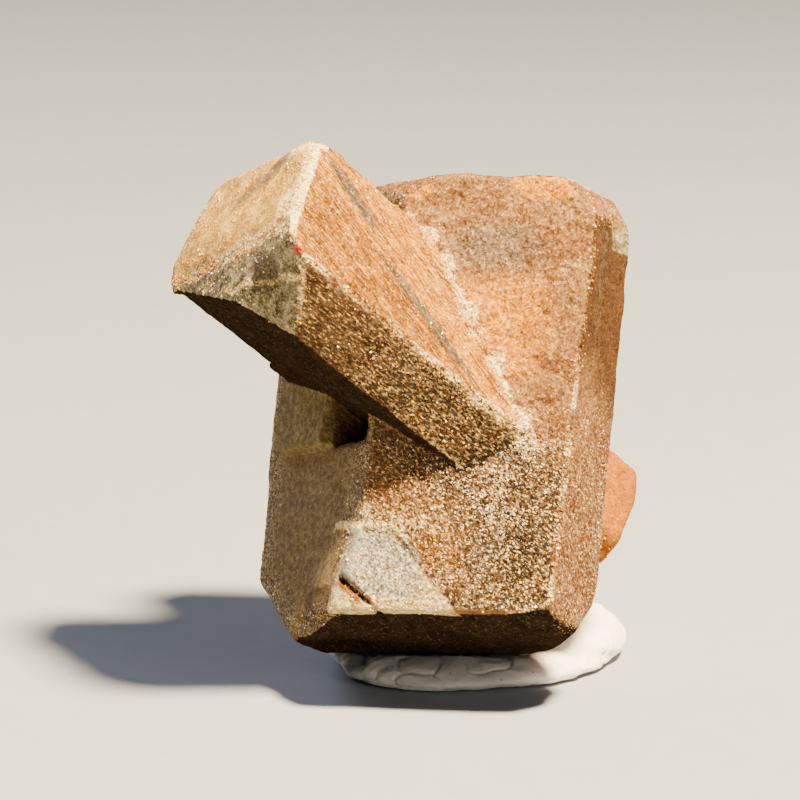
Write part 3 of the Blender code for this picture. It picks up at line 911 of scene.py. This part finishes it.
def looseGrains():
    # a grain is two cones base to base on a ring of five points, every distance a little uneven
    mesh, count, sides = crystals.data, grainLook["count"], grainLook["sides"]
    chance = np.random.default_rng(grainLook["seed"])
    points, _ = readPoints(mesh)
    corners = np.empty(len(mesh.polygons) * 3, np.int64)
    mesh.polygons.foreach_get("vertices", corners)
    corners = corners.reshape(-1, 3)
    a, b, c = (points[corners[:, side]] for side in range(3))
    area = np.linalg.norm(np.cross(b - a, c - a), axis=1) / 2
    thick = sum(part * marks[name] for name, part in grainPlaces.items()) * (1 - 0.9 * marks["smooth"])
    thick *= (1 - marks["under"]) * (1 - marks["hollow"]) * eased(rough(points, 0.6, 2, 133), -0.7, 0.5)
    weight = area * thick[corners].mean(1)
    chosen = chance.choice(len(corners), count, p=weight / weight.sum())
    share = chance.dirichlet((1, 1, 1), count)
    middle = (points[corners[chosen]] * share[..., None]).sum(1)
    low, high = grainLook["radius"]
    radius = low + (high - low) * chance.random(count) ** grainLook["fewLarge"]
    around = (np.arange(sides) + chance.uniform(-0.25, 0.25, (count, sides))) / sides * 2 * math.pi
    ring = np.stack([np.cos(around), np.sin(around), chance.uniform(-0.2, 0.2, (count, sides))], -1)
    ring *= chance.uniform(0.75, 1.15, (count, sides, 1))
    tips = np.zeros((count, 2, 3))
    tips[:, :, 2] = np.array((-1, 1)) * chance.uniform(0.8, 1.3, (count, 2))
    turns, _ = np.linalg.qr(chance.normal(size=(count, 3, 3)))
    turns *= np.sign(np.linalg.det(turns))[:, None, None]
    shape = np.einsum("nij,nkj->nki", turns, np.concatenate([ring, tips], 1)) * radius[:, None, None]
    shape = keepInside((shape + middle[:, None]).reshape(-1, 3), 0.01, 0.05)
    step = np.arange(sides)
    after = (step + 1) % sides
    upper = np.stack([step, after, np.full(sides, sides + 1)], 1)
    lower = np.stack([after, step, np.full(sides, sides)], 1)
    faces = np.concatenate([upper, lower])[None] + (np.arange(count) * (sides + 2))[:, None, None]
    made = bpy.data.meshes.new("loose_grains")
    made.from_pydata(shape * mm, [], faces.reshape(-1, 3).tolist())
    each = {"tone": chance.random(count), "golden": marks["golden"][corners[chosen, 0]]}
    writeMarks(made, {name: np.repeat(values, sides + 2) for name, values in each.items()})
    return newObject("loose_grains", made)


def grainMaterial():
    grit = Material("quartz_and_mica_grains", grainTints)
    place, noise, ramp, blend = grit.place, grit.noise, grit.ramp, grit.blend
    tone, golden = grit.mark("tone"), grit.mark("golden")
    grit.colour = blend(ramp(tone, 0.15, 0.60), "pale", "honey")
    grit.paint(golden, blend(ramp(tone, 0.15, 0.80), "honey", "amber"))
    grit.paint(ramp(tone, 0.76, 0.80), blend(golden, "smoke", "amber"))
    grit.paint(ramp(noise(place, 0.05, 2.0, 0.6), 0.50, 0.70, (0.0, 0.45)), "amber")
    grit.plug(grit.shader, {
        "Base Color": grit.colour,
        "Roughness": ramp(noise(place, 0.08, 2.0, 0.5), 0.3, 0.7, (0.10, 0.26)),
        "Specular IOR Level": 0.95,
        "Normal": grit.bump(noise(place, 0.03, 2.0, 0.6), 0.008, 0.6),
    })
    return grit.made


grainsPiece = looseGrains()
grainsPiece.data.materials.append(grainMaterial())
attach(grainsPiece, "root")
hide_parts("staurolite_twin")
stage(f"{grainLook['count']} grains strewn")


# The putty pad

putty = {
    "lumps": (((2.90, 1.40, 0.35), (5.90, 5.90, 1.00)), ((6.35, 1.90, 0.75), (2.95, 3.70, 1.20)),
              ((3.60, 4.20, 1.10), (4.30, 3.00, 1.90)), ((-0.20, 1.40, 0.40), (2.80, 3.00, 0.90)),
              ((1.80, -1.50, 0.30), (4.10, 3.20, 0.85))),    # middle and radii of each pressed lump
    "voxel": 0.085, "triangles": 90000,
    "gap": 0.14,    # mm, between the putty and the crystal's flat faces
    "fold": 0.16, "foldSize": 2.3, "crease": 0.10, "creaseSize": 0.95, "pore": 0.025, "poreSize": 0.45,
}


def lumpSurface(middle, radii, rows=48, columns=96):
    # an ellipsoid as a grid of latitude and longitude
    latitude = np.linspace(-math.pi / 2, math.pi / 2, rows + 2)[1:-1, None]
    longitude = np.arange(columns) / columns * 2 * math.pi
    ring, height = np.cos(latitude), np.sin(latitude) + 0 * longitude
    grid = np.stack([ring * np.cos(longitude), ring * np.sin(longitude), height], -1)
    points = np.concatenate([grid.reshape(-1, 3), ((0, 0, -1), (0, 0, 1))])
    return points * np.array(radii) + (np.array(middle) + standShift), closedGrid(rows, columns)


def undersideOf(crystal, points):
    # height of the crystal's lower faces above each point, or far up where it isn't overhead
    flat, reach = worldPlanes(crystal)
    height = (reach[:, None] - flat[:, :2] @ points[:, :2].T) / flat[:, 2:]
    lower = np.where(flat[:, 2:] < -0.02, height, -99.0).max(0)
    upper = np.where(flat[:, 2:] > 0.02, height, 99.0).min(0)
    return np.where(lower < upper, lower, 99.0)


def puttyPad():
    piece = fused("putty_pad", [lumpSurface(*lump) for lump in putty["lumps"]], putty["voxel"])
    applied(piece, "SMOOTH", factor=0.5, iterations=12)
    points, normals = readPoints(piece.data)
    folds = 1 - np.abs(rough(points * np.array((1, 1, 1.6)), putty["foldSize"], 2, 12))
    creases = 1 - np.abs(rolling(points * np.array((1, 0.55, 2.0)), putty["creaseSize"], 14))
    height = putty["fold"] * (folds - 0.75) - putty["crease"] * eased(creases, 0.88, 1.0)
    height += putty["pore"] * rough(points, putty["poreSize"], 3, 15)
    points = points + normals * height[:, None]
    press = undersideOf(upright, points) - putty["gap"]
    points[:, 2] = -smoothMax(-points[:, 2], -press, 0.10)
    ground = np.array(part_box("mounting_putty")[0])[2] / mm
    points[:, 2] = np.maximum(points[:, 2], ground)
    movePoints(piece, keepInside(points, 0.02, 0.2))
    thinned(piece, putty["triangles"])
    piece.data.shade_smooth()
    return piece


puttyTints = {
    "white": (250, 246, 234), "pink": (244, 222, 206), "grey": (196, 200, 200), "soil": (120, 96, 70),
    # (176, 178, 174) is painted shade on the putty under the crystal
    "shadeGrey": (176, 178, 174),
}
litFrom, shadedFrom = 6.2, 3.4    # mm along X, between which painted shade comes in over the putty under the crystal


def puttyMaterial():
    knead = Material("kneaded_putty", puttyTints)
    place, noise, ramp, times = knead.place, knead.noise, knead.ramp, knead.times
    cloudy = noise(place, 1.8, 4.0, 0.6)
    knead.colour = knead.blend(ramp(cloudy, 0.42, 0.66), "white", "pink")
    knead.paint(ramp(noise(place, 0.9, 5.0, 0.7), 0.52, 0.72, (0.0, 0.5)), "grey")
    # painted shade over the putty that lies under the crystal, greyer towards the left
    shadedPart = ramp(knead.add("SeparateXYZ", {0: place})[0], litFrom, shadedFrom)
    knead.paint(times(shadedPart, ramp(cloudy, 0.30, 0.50, (0.45, 0.95))), "shadeGrey")
    knead.paint(times(knead.maths("LESS_THAN", knead.grains(place, 0.55), 0.10), 0.7), "soil")
    folds = knead.bump(noise(place, 0.5, 5.0, 0.6), 0.09, 0.7)
    knead.plug(knead.shader, {
        "Base Color": knead.colour, "Roughness": ramp(cloudy, 0.3, 0.7, (0.42, 0.62)),
        "Subsurface Weight": 0.25, "Subsurface Radius": (0.9, 0.6, 0.4), "Subsurface Scale": 0.6 * mm,
        "Normal": knead.bump(noise(place, 0.16, 4.0, 0.65), 0.02, 0.7, folds),
    })
    return knead.made


pad = puttyPad()
pad.data.materials.append(puttyMaterial())
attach(pad, "root")
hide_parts("mounting_putty")
stage(f"putty pressed, {len(pad.data.polygons)} triangles")


# Camera, floor and light

view = {
    "aim": np.array((-0.195, -0.141, 10.9)), "distance": 180.0, "elevation": 12.0,
    "lens": 202.5, "sensor": 36.0,
}
floorLook = {"half": 400.0, "depth": 1.0}
floorTints = {"pale": (149, 152, 160), "grit": (146, 149, 157)}
lampAim = (0.0, 0.0, 9.0)
lamps = {
    "key": {"place": (90.0, -48.0, 250.0), "size": 44.0, "power": 7.0, "colour": (255, 234, 186)},
    "fill": {"place": (230.0, -210.0, 90.0), "size": 140.0, "power": 0.36, "colour": (255, 246, 236)},
    "back": {"place": (-190.0, 190.0, 170.0), "size": 140.0, "power": 0.60, "colour": (236, 242, 255)},
}
backdrop = {"Color": linear((214, 216, 220)), "Strength": 0.12}


def aimed(piece, place, target):
    piece.location = Vector(place) * mm
    piece.rotation_euler = (Vector(target) * mm - piece.location).to_track_quat("-Z", "Y").to_euler()


def makeCamera():
    tilt = math.radians(view["elevation"])
    place = view["aim"] + view["distance"] * np.array((0.0, -math.cos(tilt), math.sin(tilt)))
    data = bpy.data.cameras.new("camera")
    data.sensor_width, data.lens = view["sensor"], view["lens"]
    data.clip_start, data.clip_end = 1 * mm, 10000 * mm
    camera = newObject("camera", data)
    aimed(camera, place, view["aim"])
    bpy.context.scene.camera = camera


def makeFloor():
    across = np.array((-1.0, 1.0)) * floorLook["half"]
    top = np.array([(x, y, 0.0) for y in across for x in across])
    points = np.concatenate([top, top - np.array((0, 0, floorLook["depth"]))])
    faces = [(0, 1, 3, 2), (4, 6, 7, 5), (0, 4, 5, 1), (2, 3, 7, 6), (0, 2, 6, 4), (1, 5, 7, 3)]
    mesh = bpy.data.meshes.new("floor")
    mesh.from_pydata(points * mm, [], faces)
    pale = Material("pale_floor", floorTints)
    mottled = pale.ramp(pale.noise(pale.place, 1.5, 4.0, 0.6), 0.35, 0.7)
    pale.plug(pale.shader, {"Base Color": pale.blend(mottled, "pale", "grit"), "Roughness": 0.75})
    mesh.materials.append(pale.made)
    newObject("floor", mesh)


def makeLamps():
    for name, lamp in lamps.items():
        data = bpy.data.lights.new(name, "AREA")
        data.shape, data.size = "DISK", lamp["size"] * mm
        data.energy, data.color = lamp["power"], linear(lamp["colour"])[:3]
        aimed(newObject(name, data), lamp["place"], lampAim)
    world = bpy.data.worlds.new("world")
    world.use_nodes = True
    for name, value in backdrop.items():
        world.node_tree.nodes["Background"].inputs[name].default_value = value
    bpy.context.scene.world = world


makeCamera()
makeFloor()
makeLamps()
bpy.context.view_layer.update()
stage("scene ready")
